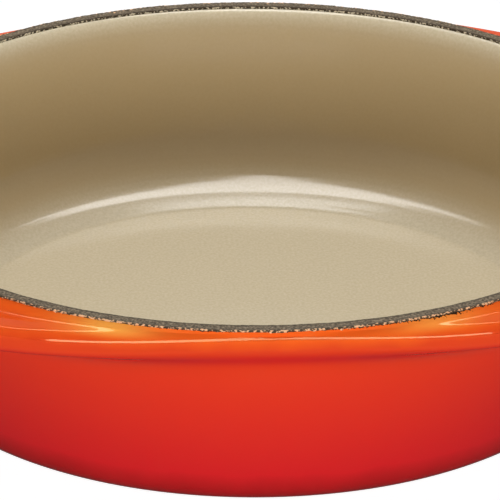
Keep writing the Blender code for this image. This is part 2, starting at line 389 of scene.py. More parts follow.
@dataclass(frozen=True)
class DishForm:
    """The finished dish's sizes.

    The overall ones come from the frame, and the others are as the solids have them, but for the
    rim's bare heights and the fillet inside, which the solids make a single arc. Here its foot rises
    over foot_lengths to foot_slopes, in degrees, before the arc of floor_fillet goes on to the wall.
    """

    half_length: float = solid_box[1].x
    half_width: float = solid_box[1].y
    height: float = solid_box[1].z
    rim_radius: float = 130.0 * MM
    rim_width: float = 4.0 * MM
    outline_power: float = 2.3
    handle_onset: float = 2.6
    wall_draft: float = math.radians(16.4)
    wall_thickness: float = 5.2 * MM
    floor_thickness: float = 5.5 * MM
    floor_fillet: float = 20.0 * MM
    foot_lengths: tuple[float, ...] = (1.8 * MM, 3.8 * MM, 2.3 * MM, 7.4 * MM, 11.0 * MM)
    foot_slopes: tuple[float, ...] = (22.0, 23.0, 25.6, 40.3, 60.0)
    base_corner: float = 6.0 * MM
    ring_width: float = 12.0 * MM
    recess_slope: float = 2.0 * MM
    recess_depth: float = 0.8 * MM
    inner_bare_height: float = 0.8 * MM
    outer_bare_height: float = 0.65 * MM

    @property
    def inner_rim_radius(self) -> float:
        """The rim's inner radius."""
        return self.rim_radius - self.rim_width

    @property
    def middle_rim_radius(self) -> float:
        """The radius of the rim's middle."""
        return self.rim_radius - self.rim_width / 2.0

    def inner_wall_radius(self, height: np.ndarray) -> np.ndarray:
        """The inner wall's radius: a cone that opens upwards by the draft."""
        fall = self.height - self.inner_bare_height - height
        return self.inner_rim_radius - fall * math.tan(self.wall_draft)

    def outer_wall_radius(self, height: np.ndarray) -> np.ndarray:
        """The outer wall's radius, one wall thickness outside the inner wall."""
        return self.inner_wall_radius(height) + self.wall_thickness / math.cos(self.wall_draft)

    def outline_radius(self, angle: np.ndarray) -> np.ndarray:
        """The collar's and handles' reach, a superellipse: |x / length|^p + |y / width|^p = 1.

        Args:
            angle: Directions.

        Returns:
            The reach in each direction.
        """
        power = self.outline_power
        along = np.abs(np.cos(angle)) / self.half_length
        across = np.abs(np.sin(angle)) / self.half_width
        return (along**power + across**power) ** (-1.0 / power)

    def handle_share(self, reach: np.ndarray) -> np.ndarray:
        """How much of the handle's section a reach has: 0 at the front, 1 at a handle's tip."""
        part = np.clip((reach - self.half_width) / (self.half_length - self.half_width), 0.0, 1.0)
        return 1.0 - (1.0 - part) ** self.handle_onset

    def bowl(self, depth: float, top: float, steps: tuple[int, int, int]) -> np.ndarray:
        """The inside from the axis, over the flat floor and the fillet, up the wall to a height.

        Along the fillet's length the slope s goes evenly from knot to knot, and the path is the
        running sum of (cos s, sin s).

        Args:
            depth: How far the face lies inside the finished surface.
            top: Where the wall ends.
            steps: Steps of the floor, the fillet and the wall.

        Returns:
            One section, from the axis outwards.
        """
        steepest = math.pi / 2.0 - self.wall_draft
        slopes = np.array([0.0, *np.radians(self.foot_slopes), steepest])
        arc = (steepest - slopes[-2]) * self.floor_fillet
        knots = running_sum([*self.foot_lengths, arc])
        length = np.linspace(0.0, knots[-1], steps[1] + 1)
        slope = np.interp(length, knots, slopes)
        middle = (slope[1:] + slope[:-1]) / 2.0
        run = running_sum(np.cos(middle) * np.diff(length))
        height = self.floor_thickness + running_sum(np.sin(middle) * np.diff(length))
        radius = self.inner_wall_radius(height[-1]) - run[-1] + run
        fillet = points(radius + depth * np.sin(slope), height - depth * np.cos(slope))
        floor = points(np.linspace(0.0, fillet[0, 0], steps[0] + 1)[:-1], fillet[0, 1])
        heights = np.linspace(fillet[-1, 1], top, steps[2] + 1)[1:]
        wall = points(self.inner_wall_radius(heights) + depth / math.cos(self.wall_draft), heights)
        return np.concatenate([floor, fillet, wall])

    def base_edge(self, depth: float, steps: int) -> np.ndarray:
        """The arc from the outer wall to the base: centre + reach (sin a, -cos a), as a falls to 0.

        Args:
            depth: How far the face lies inside the finished surface.
            steps: How many steps the arc has.

        Returns:
            One section, from the wall inwards.
        """
        turn = math.pi / 2.0 - self.wall_draft
        centre = self.outer_wall_radius(0.0) - self.base_corner * math.tan(turn / 2.0)
        angle = turn * (1.0 - np.arange(steps + 1) / steps)
        reach = self.base_corner - depth
        return points(centre + reach * np.sin(angle), self.base_corner - reach * np.cos(angle))

    def base(self, depth: float) -> np.ndarray:
        """The standing ring's inner edge and the recess inside it, with all sides set in alike.

        Args:
            depth: How far the face lies inside the finished surface.

        Returns:
            One section, from the ring to the axis.
        """
        mitre = depth * math.tan(math.atan2(self.recess_depth, self.recess_slope) / 2.0)
        ring = self.base_edge(0.0, 1)[-1, 0] - self.ring_width + mitre
        radii = np.array([ring, ring - self.recess_slope, 0.0])
        return points(radii, depth + np.array([0.0, self.recess_depth, self.recess_depth]))


FORM = DishForm()


@dataclass(frozen=True)
class CollarForm:
    """The collar under the rim, with the two handles that grow out of it.

    A section runs from the rim out over the brim, down a narrow ledge and the collar's face, and
    under it back to the wall. Pairs give a size at the front and at a handle. But rounding_onset
    and ledge_ends are shares of the way to a handle where a change starts and ends, and
    ledge_rounding is for the ledge and for the face under it. A rounding takes no more than
    most_of_side of a side, and the hollow's keeps hollow_gap clear of the one above it.
    """

    brim_inset: float = 1.6 * MM
    brim_inset_growth: float = 1.9 * MM
    brim_inset_power: float = 0.7
    brim_softness: float = 0.5 * MM
    brim_fall: Pair = (1.3 * MM, 5.0 * MM)
    brim_power: float = 1.4
    shoulder_fall: Pair = (1.2 * MM, 4.9 * MM)
    shoulder_power: float = 2.4
    shoulder_reach: float = 3.6 * MM
    shoulder_spread: float = 7.0 * MM
    rounding_onset: Pair = (0.15, 0.8)
    ledge_level: Pair = (2.15 * MM, 7.0 * MM)
    ledge_run: Pair = (1.1 * MM, 0.9 * MM)
    ledge_fall: Pair = (0.61 * MM, 0.36 * MM)
    ledge_ends: Pair = (0.66, 0.8)
    belly_fall: Pair = (10.0 * MM, 13.2 * MM)
    belly_slant: float = 3.2 * MM
    shoulder_rounding: Pair = (0.1 * MM, 1.6 * MM)
    brim_rounding: Pair = (0.1 * MM, 1.0 * MM)
    ledge_rounding: Pair = (0.12 * MM, 0.48 * MM)
    lower_rounding: Pair = (3.0 * MM, 3.2 * MM)
    hollow_run: Pair = (2.0 * MM, 20.0 * MM)
    hollow_fall: Pair = (6.0 * MM, 8.8 * MM)
    hollow_gap: float = 0.1 * MM
    most_of_side: float = 0.48

    def sections(
        self, angle: np.ndarray, depth: float, arc_steps: int, side_steps: int
    ) -> np.ndarray:
        """The outside from the rim, over collar and handles, to the foot of the outer wall.

        Args:
            angle: Directions.
            depth: How far the face lies inside the finished surface.
            arc_steps: Steps of each rounding.
            side_steps: Steps of each straight side.

        Returns:
            Directions by points by (radius, height).
        """
        outline = FORM.outline_radius(angle)
        share = FORM.handle_share(outline)
        rise = smooth_step(share, *self.rounding_onset)
        face = outline - FORM.rim_radius
        growth = self.brim_inset_growth * np.sin(math.pi * share**self.brim_inset_power)
        clear = face - (self.brim_inset + growth)
        brim = (clear + np.sqrt(clear**2 + self.brim_softness**2)) / 2.0
        brim_fall = between(self.brim_fall, share**self.brim_power)
        shoulder = self.shoulder_reach * brim / (brim + self.shoulder_spread)
        shoulder_fall = between(self.shoulder_fall, share**self.shoulder_power)
        run = between(self.ledge_run, share) * (1.0 - smooth_step(share, *self.ledge_ends))
        ledge_fall = between(self.ledge_fall, np.sqrt(share))
        ledge_top = between(self.ledge_level, share)
        belly = between(self.belly_fall, share)
        slant = self.belly_slant * (1.0 - share)
        wall_top = FORM.outer_wall_radius(FORM.height - belly - slant) - FORM.rim_radius
        base_edge = FORM.base_edge(depth, 1)[0]
        inwards = depth / math.cos(FORM.wall_draft)
        rim, crease = between(self.shoulder_rounding, rise), between(self.brim_rounding, rise)
        top, under = self.ledge_rounding
        lower = between(self.lower_rounding, share)
        zero = np.zeros_like(angle)
        corners = [
            (zero, zero + FORM.outer_bare_height),
            (shoulder, shoulder_fall + depth),
            (brim, brim_fall + depth),
            (face - run, ledge_top + depth / 2.0),
            (face, ledge_top + ledge_fall + depth / 2.0),
            (face, belly - slant - depth),
            (wall_top - inwards + depth, belly + slant - depth),
            (zero + base_edge[0] - FORM.rim_radius + depth, zero + FORM.height - base_edge[1]),
        ]
        path = [points(FORM.rim_radius + out - depth, FORM.height - fall) for out, fall in corners]
        path = np.stack(path, axis=1)
        roundings = [
            (rim, rim),
            (crease, crease / 2.0),
            (zero + top, zero + top),
            (zero + top, zero + under),
            (lower, lower),
            (between(self.hollow_run, share), between(self.hollow_fall, share)),
        ]
        reach = np.stack([points(before, after) for before, after in roundings], axis=1)
        length = np.linalg.norm(np.diff(path, axis=1), axis=-1)
        most = self.most_of_side * np.stack([length[:, :-1], length[:, 1:]], axis=-1)
        above = length[:, -2] - reach[:, -2, 1] - self.hollow_gap
        most[:, -1] = np.stack([above, length[:, -1]], axis=-1)
        return rounded_path(path, np.minimum(reach, most), arc_steps, side_steps)


COLLAR = CollarForm()


@dataclass(frozen=True)
class HiddenFace:
    """A whole face under the coats, from the floor's middle over the rim to the base's middle."""

    count: int
    depth: float
    top_depth: float
    crown_cut: float = 0.25
    bowl_steps: tuple[int, int, int] = (6, 10, 4)
    collar_steps: tuple[int, int] = (8, 1)
    edge_steps: int = 6

    def surface(self) -> Surface:
        """The face, with the rim's crown as a flat with two cut corners.

        Returns:
            A closed surface.
        """
        half = FORM.rim_width / 2.0 - self.depth
        cut = half * self.crown_cut
        across = FORM.middle_rim_radius + np.array([-half, cut - half, half - cut, half])
        sections = join_sections(
            self.count,
            FORM.bowl(self.depth, FORM.height - FORM.outer_bare_height, self.bowl_steps),
            points(across, FORM.height - self.top_depth - np.array([cut, 0.0, 0.0, cut])),
            COLLAR.sections(directions(self.count), self.depth, *self.collar_steps),
            FORM.base_edge(self.depth, self.edge_steps)[1:],
            FORM.base(self.depth),
        )
        return round_surface(sections, Closing.POLES)


@dataclass(frozen=True)
class PinSpots:
    """Three bare spots under the base, where the dish stood on the kiln's pins."""

    count: int = 3
    radius: float = 1.6 * MM
    circle: float = 72.0 * MM
    start: float = math.radians(75.0)
    sides: int = 40
    unevenness: float = 0.08
    waves: Pair = (3.0, 5.0)
    reach: float = 1.6 * MM

    def cutters(self) -> Surface:
        """Upright prisms through the coats, with r = radius (1 + u (sin 3a + cos 5a / 2)).

        Returns:
            The prisms, as closed surfaces.
        """
        angle = directions(self.sides)
        wave = np.sin(self.waves[0] * angle) + np.cos(self.waves[1] * angle) / 2.0
        radius = self.radius * (1.0 + self.unevenness * wave)
        corners, faces = [], []
        for number in range(self.count):
            middle = self.start + number * FULL_TURN / self.count
            x = self.circle * math.cos(middle) + radius * np.cos(angle + middle)
            y = self.circle * math.sin(middle) + radius * np.sin(angle + middle)
            for z in (-self.reach, self.reach + FORM.recess_depth):
                corners.append(np.stack([x, y, np.full_like(x, z)], axis=-1))
            low = np.arange(self.sides) + 2 * number * self.sides
            high = low + self.sides
            faces += np.stack([low, np.roll(low, -1), np.roll(high, -1), high], axis=-1).tolist()
            faces += [low[::-1].tolist(), high.tolist()]
        return Surface(np.concatenate(corners), faces)

    def cut(self, surface: Surface) -> Surface:
        """The surface with the spots cut out of it.

        Args:
            surface: A closed surface.

        Returns:
            What is left, as the exact Boolean modifier gives it.
        """
        target = add_object("target", surface_mesh("target", surface))
        cutter = add_object("cutter", surface_mesh("cutter", self.cutters()))
        boolean = target.modifiers.new("pin spots", "BOOLEAN")
        boolean.operation = "DIFFERENCE"
        boolean.object = cutter
        view = bpy.context.evaluated_depsgraph_get()
        mesh = target.evaluated_get(view).to_mesh()
        corners = np.array([corner.co[:] for corner in mesh.vertices])
        faces = [list(face.vertices) for face in mesh.polygons]
        for piece in (target, cutter):
            data = piece.data
            bpy.data.objects.remove(piece)
            bpy.data.meshes.remove(data)
        return Surface(corners, faces)


PIN_SPOTS = PinSpots()


@dataclass(frozen=True)
class Noise:
    """Noise whose largest spots are about a real size across."""

    size: float
    detail: float = 1.0

    def inputs(self, place: Socket) -> dict:
        """The noise node's inputs, for a pattern on the given coordinates."""
        return {"Vector": place, "Scale": 1.0 / self.size, "Detail": self.detail}


@dataclass(frozen=True)
class Tint:
    """An sRGB hex colour that lies over others as far as one of the mesh's attributes says.

    Where it has levels and a noise, it lies there in specks, from none to full between the levels of
    noise plus attribute.
    """

    attribute: str
    colour: str
    levels: Pair | None = None
    noise: Noise | None = None

    def over(self, tree: Tree, place: Socket, under: Socket) -> Socket:
        """Lays the tint over a colour.

        Args:
            tree: The material's node tree.
            place: Object coordinates.
            under: The colour below.

        Returns:
            The colour.
        """
        share = add_node(tree, Kind.ATTRIBUTE, {}, attribute_name=self.attribute).outputs["Fac"]
        if self.levels:
            noise = add_node(tree, Kind.NOISE, self.noise.inputs(place)).outputs["Fac"]
            amount = add_node(tree, Kind.MATH, {0: noise, 1: share}, operation="ADD").outputs[0]
            inputs = {"Value": amount, "From Min": self.levels[0], "From Max": self.levels[1]}
            share = add_node(tree, Kind.MAP_RANGE, inputs).outputs[0]
        inputs = {0: share, MIX_UNDER: under, MIX_OVER: linear(self.colour)}
        return add_node(tree, Kind.MIX, inputs, data_type="RGBA").outputs[MIX_RESULT]


class Finish:
    """A material with one Principled BSDF.

    The mottling goes through the colour stops, tints lie over that, and the gloss sets the shader's
    own sockets. The relief is a noise of its own, or else the mottling's.
    """

    name: str
    mottling: Noise
    stops: Stops
    tints: tuple[Tint, ...] = ()
    relief: Noise | None = None
    relief_depth: float
    gloss: Settings

    def material(self) -> bpy.types.Material:
        """Makes the material.

        Returns:
            The material.
        """
        material = bpy.data.materials.new(self.name)
        material.use_nodes = True
        tree = material.node_tree
        shader = tree.nodes["Principled BSDF"]
        place = add_node(tree, Kind.PLACE, {}).outputs["Object"]
        noise = add_node(tree, Kind.NOISE, self.mottling.inputs(place)).outputs["Fac"]
        level = self.level(tree, place, noise)
        colour = add_node(tree, Kind.RAMP, {"Fac": level}, stops=self.stops).outputs["Color"]
        for tint in self.tints:
            colour = tint.over(tree, place, colour)
        tree.links.new(colour, shader.inputs["Base Color"])
        if self.relief:
            noise = add_node(tree, Kind.NOISE, self.relief.inputs(place)).outputs["Fac"]
        inputs = {"Height": noise, "Distance": self.relief_depth, "Strength": 1.0}
        bump = add_node(tree, Kind.BUMP, inputs).outputs["Normal"]
        tree.links.new(bump, shader.inputs["Normal"])
        for name, value in self.gloss:
            shader.inputs[name].default_value = value
        return material

    def level(self, tree: Tree, place: Socket, noise: Socket) -> Socket:
        """What goes through the colour stops: the noise itself."""
        return noise


@dataclass(frozen=True)
class CastIron(Finish):
    """Grey cast iron, sand cast and shot blasted, which makes it dull, dark and pitted."""

    name: str = "sand cast iron"
    mottling: Noise = Noise(0.8 * MM, detail=4.0)
    stops: Stops = ((0.3, "#3A3836"), (0.7, "#5C5956"))
    relief_depth: float = 0.12 * MM
    gloss: Settings = (("Roughness", 0.55), ("Metallic", 0.9))


@dataclass(frozen=True)
class GroundEnamel(Finish):
    """Matt ground enamel, fired once: dark, stony and rough.

    Its rim's two top corners are darkened as painted shade, and cream and peach specks on its edges
    are painted glints; the mesh's attributes say how near an edge is. Its grains are finer in truth,
    and are drawn as coarse as they need to show.
    """

    name: str = "matt ground enamel"
    mottling: Noise = Noise(0.8 * MM, detail=3.0)
    stops: Stops = ((0.34, "#453A2D"), (0.5, "#675A47"), (0.66, "#91826B"))
    tints: tuple[Tint, ...] = (
        # Painted shade on the rim's two top corners.
        Tint("edge", "#3A2F22"),
        # Cream and peach specks: painted glints on the rim's inner and outer edge.
        Tint("inner_side", "#DCD0B6", levels=(1.4, 1.5), noise=Noise(0.8 * MM)),
        Tint("outer_side", "#EBB98C", levels=(1.4, 1.5), noise=Noise(0.8 * MM)),
    )
    relief_depth: float = 0.08 * MM
    gloss: Settings = (("Roughness", 0.6), ("IOR", 1.5), ("Specular IOR Level", 0.25))


@dataclass(frozen=True)
class SandEnamel(Finish):
    """Sand coloured vitreous enamel: fine freckles under a satin gloss, with slight orange peel.

    It is browner and darker on the wall than on the floor: painted shade of the steep wall, and of
    the coloured light that bounces in the bowl. Its freckles are finer in truth, and are drawn as
    coarse as they need to show.
    """

    name: str = "sand vitreous enamel"
    mottling: Noise = Noise(0.9 * MM, detail=2.0)
    stops: Stops = ((0.3, "#C8BA9C"), (0.7, "#D4C7AB"))
    # Painted shade: browner and darker on the wall than on the floor.
    tints: tuple[Tint, ...] = (Tint("wall", "#C0A679"),)
    relief: Noise = Noise(2.5 * MM)
    relief_depth: float = 0.006 * MM
    gloss: Settings = (("Roughness", 0.15), ("IOR", 1.5), ("Specular IOR Level", 0.55))


@dataclass(frozen=True)
class GradedEnamel(Finish):
    """Vitreous enamel sprayed in two colours, orange above and red below, that melt together.

    It is glossy, with slight orange peel, and its clear top warms the gloss a little. The stops are
    shares of the dish's height, for the base, the low wall, the wall, the collar and the rim. The
    base's dark stop is painted shade, where the corner turns under towards the floor.
    """

    name: str = "graded orange vitreous enamel"
    mottling: Noise = Noise(12.0 * MM, detail=2.0)
    cloud_height: float = 4.0 * MM
    stops: Stops = (
        # Painted shade: the darkest stop, at the corner where the wall turns under to the floor.
        (0.03, "#9E151B"),
        (0.16, "#DA2127"),
        (0.72, "#E3381F"),
        (0.9, "#E03E18"),
        (0.96, "#F35E18"),
    )
    tints: tuple[Tint, ...] = (
        # Painted shade: a deeper red in the hollow under the collar.
        Tint("hollow", "#C8181F"),
        # A pale patch by the brim: partly thinner, yellower enamel and partly a painted highlight.
        Tint("brim", "#FBB04C"),
        Tint("border", "#2E2018", levels=(1.12, 1.2), noise=Noise(0.7 * MM)),
    )
    relief: Noise = Noise(4.0 * MM)
    relief_depth: float = 0.008 * MM
    gloss: Settings = (
        ("Roughness", 0.07),
        ("IOR", 1.45),
        ("Specular IOR Level", 0.6),
        ("Specular Tint", linear("#FFDC98")),
    )

    def level(self, tree: Tree, place: Socket, noise: Socket) -> Socket:
        """The share of the dish's height, which drifts in soft clouds.

        Args:
            tree: The material's node tree.
            place: Object coordinates.
            noise: The clouds.

        Returns:
            The share.
        """
        height = add_node(tree, Kind.SEPARATE, {"Vector": place}).outputs["Z"]
        inputs = {0: noise, 1: self.cloud_height, 2: height}
        drift = add_node(tree, Kind.MATH, inputs, operation="MULTIPLY_ADD").outputs[0]
        start = self.cloud_height / 2.0
        inputs = {"Value": drift, "From Min": start, "From Max": start + FORM.height}
        return add_node(tree, Kind.MAP_RANGE, inputs).outputs[0]


@dataclass(frozen=True)
class DarkRedEnamel(Finish):
    """Dark red vitreous enamel, sprayed thinly under the base in soft clouds, with orange peel."""

    name: str = "dark red vitreous enamel"
    mottling: Noise = Noise(9.0 * MM, detail=3.0)
    stops: Stops = ((0.3, "#6E0D10"), (0.7, "#93161A"))
    relief: Noise = Noise(2.5 * MM)
    relief_depth: float = 0.03 * MM
    gloss: Settings = (("Roughness", 0.14), ("IOR", 1.45), ("Specular IOR Level", 0.4))


class Piece:
    """A piece of the dish with one finish."""

    finish: Finish

    def dress(self, piece: bpy.types.Object) -> None:
        """Gives the piece its finish."""
        piece.data.materials.append(self.finish.material())


@dataclass(frozen=True)
class IronCasting(Piece):
    """The iron under the coats. It shows only at the pin spots."""

    finish: Finish = CastIron()
    count: int = 360
    depth: float = 1.2 * MM
    top_depth: float = 0.55 * MM

    def build(self) -> bpy.types.Object:
        """The casting, as one closed face."""
        face = HiddenFace(self.count, self.depth, self.top_depth).surface()
        return add_piece(surface_mesh("iron_casting", face), "cast_iron_body")


@dataclass(frozen=True)
class GroundCoat(Piece):
    """The first coat: a layer under the cover coats, with its rough crest bare on the rim.

    Pairs are for the crest's inner and outer side, but the sizes of its grains and lumps are in grid
    steps, round the rim and across it.
    """

    finish: Finish = GroundEnamel()
    count: int = 2000
    layer_count: int = 240
    layer_depth: float = 0.65 * MM
    layer_top: float = 0.45 * MM
    side_depths: Pair = (0.06 * MM, -0.08 * MM)
    foot_depth: float = 0.3 * MM
    crest_roundings: Pair = (0.3 * MM, 0.3 * MM)
    crest_fall: float = 0.02 * MM
    buried: float = 0.7 * MM
    arc_steps: int = 8
    side_steps: int = 7
    grain_heights: Pair = (0.025 * MM, 0.075 * MM)
    grain_sizes: Pair = (0.8, 0.9)
    grain_seed: int = 3
    lump_height: float = 0.03 * MM
    lump_sizes: Pair = (5.0, 5.0)
    lump_seed: int = 5
    # Where the painted glints lie: down the rim's sides, and over the outer part of its top.
    glint_width: float = 0.2 * MM
    glint_start: float = 0.6
    glint_most: float = 0.92
    # How wide and how strong the painted shade at the rim's two top corners is, inside and outside.
    edge_shade_width: float = 0.9 * MM
    edge_shade_strengths: Pair = (0.9, 0.5)

    def crest(self) -> tuple[np.ndarray, np.ndarray]:
        """The crest's sections: a rounded top with grain along its normals, closed underneath.

        Returns:
            The sections, and each point's share of the way from the inner to the outer edge.
        """
        inner = FORM.inner_rim_radius + self.side_depths[0]
        outer = FORM.rim_radius - self.side_depths[1]
        top = FORM.height - self.crest_fall
        inner_foot = FORM.height - FORM.inner_bare_height - self.buried
        outer_foot = FORM.height - FORM.outer_bare_height - self.buried
        corners = points(
            np.array([inner + self.foot_depth, inner, outer, outer - self.foot_depth]),
            np.array([inner_foot, top, top, outer_foot]),
        )[None]
        rounding = np.repeat(np.array(self.crest_roundings)[None, :, None], 2, axis=2)
        face = rounded_path(corners, rounding, self.arc_steps, self.side_steps)
        share = (face[..., 0] - FORM.inner_rim_radius) / FORM.rim_width
        shape = (self.count, face.shape[1])
        noise = between(self.grain_heights, share) * grain(shape, self.grain_sizes, self.grain_seed)
        noise += self.lump_height * grain(shape, self.lump_sizes, self.lump_seed)
        noise[:, [0, -1]] = 0.0
        rough = face + section_normals(face) * noise[..., None]
        rough[..., 1] = np.minimum(rough[..., 1], FORM.height)
        rough[..., 0] = np.maximum(rough[..., 0], FORM.inner_rim_radius)
        return rough, np.broadcast_to(share, shape)

    def build(self) -> bpy.types.Object:
        """The crest and the layer, as closed surfaces of one mesh.

        Returns:
            The piece.
        """
        crest, share = self.crest()
        layer = HiddenFace(self.layer_count, self.layer_depth, self.layer_top).surface()
        layer = PIN_SPOTS.cut(layer)
        mesh = surface_mesh("ground_coat_shell", round_surface(crest, Closing.RING), layer)
        rest = np.zeros(len(layer.corners))
        fall = np.clip((FORM.height - crest[..., 1]) / self.glint_width, 0.0, 1.0)
        corner = np.minimum(share, 1.0 - share) * FORM.rim_width / self.edge_shade_width
        outwards = smooth_step(share, self.glint_start, 1.0)
        values = {
            # Painted glints on the rim's inner and outer edge.
            "inner_side": self.glint_most * fall * (share < 0.5),
            "outer_side": self.glint_most * np.maximum(fall * (share > 0.5), outwards),
            # Painted shade at the rim's two top corners, stronger on the inner one.
            "edge": np.where(share < 0.5, *self.edge_shade_strengths) * bell(corner),
        }
        for name, value in values.items():
            set_attribute(mesh, name, np.concatenate([value.ravel(), rest]))
        return add_piece(mesh, "ground_coat")


@dataclass(frozen=True)
class InnerEnamel(Piece):
    """The sand coloured coat that lines the bowl."""

    finish: Finish = SandEnamel()
    count: int = 720
    thickness: float = 0.35 * MM
    lip_length: float = 7.5 * MM
    lip_lean: float = math.radians(60.0)
    lip_power: float = 2.2
    lip_steps: int = 20
    face_steps: tuple[int, int, int] = (10, 48, 24)
    back_steps: tuple[int, int, int] = (3, 10, 3)
    back_drop: float = 0.2 * MM
    ripple_height: float = 0.014 * MM
    ripple_pitch: float = 2.2 * MM
    ripple_beat: float = 4.1
    # The wall's painted shade: its strength, its onset above the floor and its fade under the lip.
    wall_shade_share: float = 0.85
    wall_shade_onset: float = 11.0 * MM
    wall_shade_end: float = 5.0 * MM

    def face(self) -> np.ndarray:
        """The finished face, from the floor's middle to the lip that curls out under the rim.

        The lip's normal leans from the wall's draft d up to l, as d + (l - d) s^p along it, and the
        wall below is moved in, more and more upwards, by what the lip curls out.

        Returns:
            One section, from the axis outwards.
        """
        share = (np.arange(self.lip_steps) + 0.5) / self.lip_steps
        lean = FORM.wall_draft + (self.lip_lean - FORM.wall_draft) * share**self.lip_power
        step = self.lip_length / self.lip_steps
        run = running_sum(np.sin(lean) * step)
        rise = running_sum(np.cos(lean) * step)
        top = FORM.height - FORM.inner_bare_height
        bowl = FORM.bowl(0.0, top - rise[-1], self.face_steps)
        lip = points(bowl[-1, 0] + run[1:], bowl[-1, 1] + rise[1:])
        inset = lip[-1, 0] - FORM.inner_rim_radius
        face = np.concatenate([bowl, lip])
        fillet_top = bowl[-1 - self.face_steps[2], 1]
        face[:, 0] -= inset * smooth_step(face[:, 1], fillet_top, bowl[-1, 1])
        return face

    def build(self) -> bpy.types.Object:
        """The coat: its face, with faint turned rings, and its back.

        A ring's height at a length x along the face is sin(2 pi x / pitch) + sin(beat x / pitch).

        Returns:
            The piece.
        """
        face = self.face()
        length = running_sum(np.linalg.norm(np.diff(face, axis=0), axis=-1))
        ripple = np.sin(length * FULL_TURN / self.ripple_pitch)
        ripple += np.sin(length * self.ripple_beat / self.ripple_pitch)
        face = face + section_normals(face[None])[0] * (self.ripple_height / 2.0 * ripple)[:, None]
        face[0, 0] = 0.0
        back = FORM.bowl(self.thickness, face[-1, 1] - self.back_drop, self.back_steps)
        sections = join_sections(self.count, face, back[::-1])
        mesh = surface_mesh("inner_enamel_lining", round_surface(sections, Closing.POLES))
        height = sections[:, 1:-1, 1]
        # Painted shade of the wall, from a little above the floor to just under the lip.
        wall = self.wall_shade_share * smooth_step((height - FORM.floor_thickness) / self.wall_shade_onset)
        wall *= 1.0 - bell((FORM.height - height) / self.wall_shade_end)
        set_attribute(mesh, "wall", np.concatenate([wall.ravel(), np.zeros(2)]))
        return add_piece(mesh, "inner_enamel")


@dataclass(frozen=True)
class OuterEnamel(Piece):
    """The graded coat on the collar, the handles and the outer wall.

    It is palest in a patch on each side of the brim, partly thinner, yellower enamel and partly a
    painted highlight. The patch fades out over yellow_sheen_falls below the rim and as a bell on
    both sides
    of a place: yellow_sheen_share gives the handle share there and the bell's width, and
    yellow_sheen_strengths the patch on the left and on the right.
    """

    finish: Finish = GradedEnamel()
    count: int = 720
    thickness: float = 0.35 * MM
    face_steps: tuple[int, int] = (7, 4)
    back_steps: tuple[int, int] = (6, 1)
    face_edge_steps: int = 10
    back_edge_steps: int = 4
    wave_height: float = 0.012 * MM
    wave_sizes: Pair = (14.0, 6.0)
    wave_seed: int = 11
    wave_fade: float = 2.0 * MM
    border_width: float = 1.0 * MM
    border_strength: float = 0.75
    border_spread: float = 0.2
    border_sizes: Pair = (10.0, 1.0)
    border_seed: int = 7
    # The painted shade in the hollow under the collar.
    hollow_shade_width: float = 2.2 * MM
    hollow_shade_strength: float = 0.85
    # The pale brim patch, partly thinner enamel and partly a painted highlight.
    yellow_sheen_falls: Pair = (2.0 * MM, 4.4 * MM)
    yellow_sheen_share: Pair = (0.48, 0.17)
    yellow_sheen_strengths: Pair = (0.8, 0.5)

    def build(self) -> bpy.types.Object:
        """The coat: its face, gently uneven as castings are, and its back.

        Returns:
            The piece.
        """
        angle = directions(self.count)
        outline = FORM.outline_radius(angle)[:, None]
        face = COLLAR.sections(angle, 0.0, *self.face_steps)
        wave = self.wave_height * grain(face.shape[:2], self.wave_sizes, self.wave_seed)
        fade = smooth_step((FORM.height - FORM.outer_bare_height - face[..., 1]) / self.wave_fade)
        face = face + section_normals(face) * (wave * fade)[..., None]
        back = COLLAR.sections(angle, self.thickness, *self.back_steps)
        sections = join_sections(
            self.count,
            face,
            FORM.base_edge(0.0, self.face_edge_steps)[1:],
            FORM.base_edge(self.thickness, self.back_edge_steps)[::-1][:-1],
            back[:, ::-1],
        )
        sections[..., 0] = np.minimum(sections[..., 0], outline)
        mesh = surface_mesh("outer_enamel_coat", round_surface(sections, Closing.RING))
        share = FORM.handle_share(outline)
        fall = FORM.height - sections[..., 1]
        # Painted shade in the hollow under the collar, as a bell round the belly's height.
        below = (fall - between(COLLAR.belly_fall, share)) / self.hollow_shade_width
        set_attribute(mesh, "hollow", self.hollow_shade_strength * bell(below))
        noise = grain((self.count, 1), self.border_sizes, self.border_seed)
        patches = np.clip(self.border_strength + self.border_spread * noise, 0.0, 1.0)
        border = patches * np.exp(-(fall - FORM.outer_bare_height) / self.border_width)
        set_attribute(mesh, "border", border)
        # The pale brim patch: partly thinner, yellower enamel and partly a painted highlight.
        near = 1.0 - smooth_step(fall, *self.yellow_sheen_falls)
        beside = bell((share - self.yellow_sheen_share[0]) / self.yellow_sheen_share[1])
        strength = np.where(np.cos(angle) < 0.0, *self.yellow_sheen_strengths)[:, None]
        set_attribute(mesh, "brim", strength * near * beside)
        return add_piece(mesh, "outer_enamel")


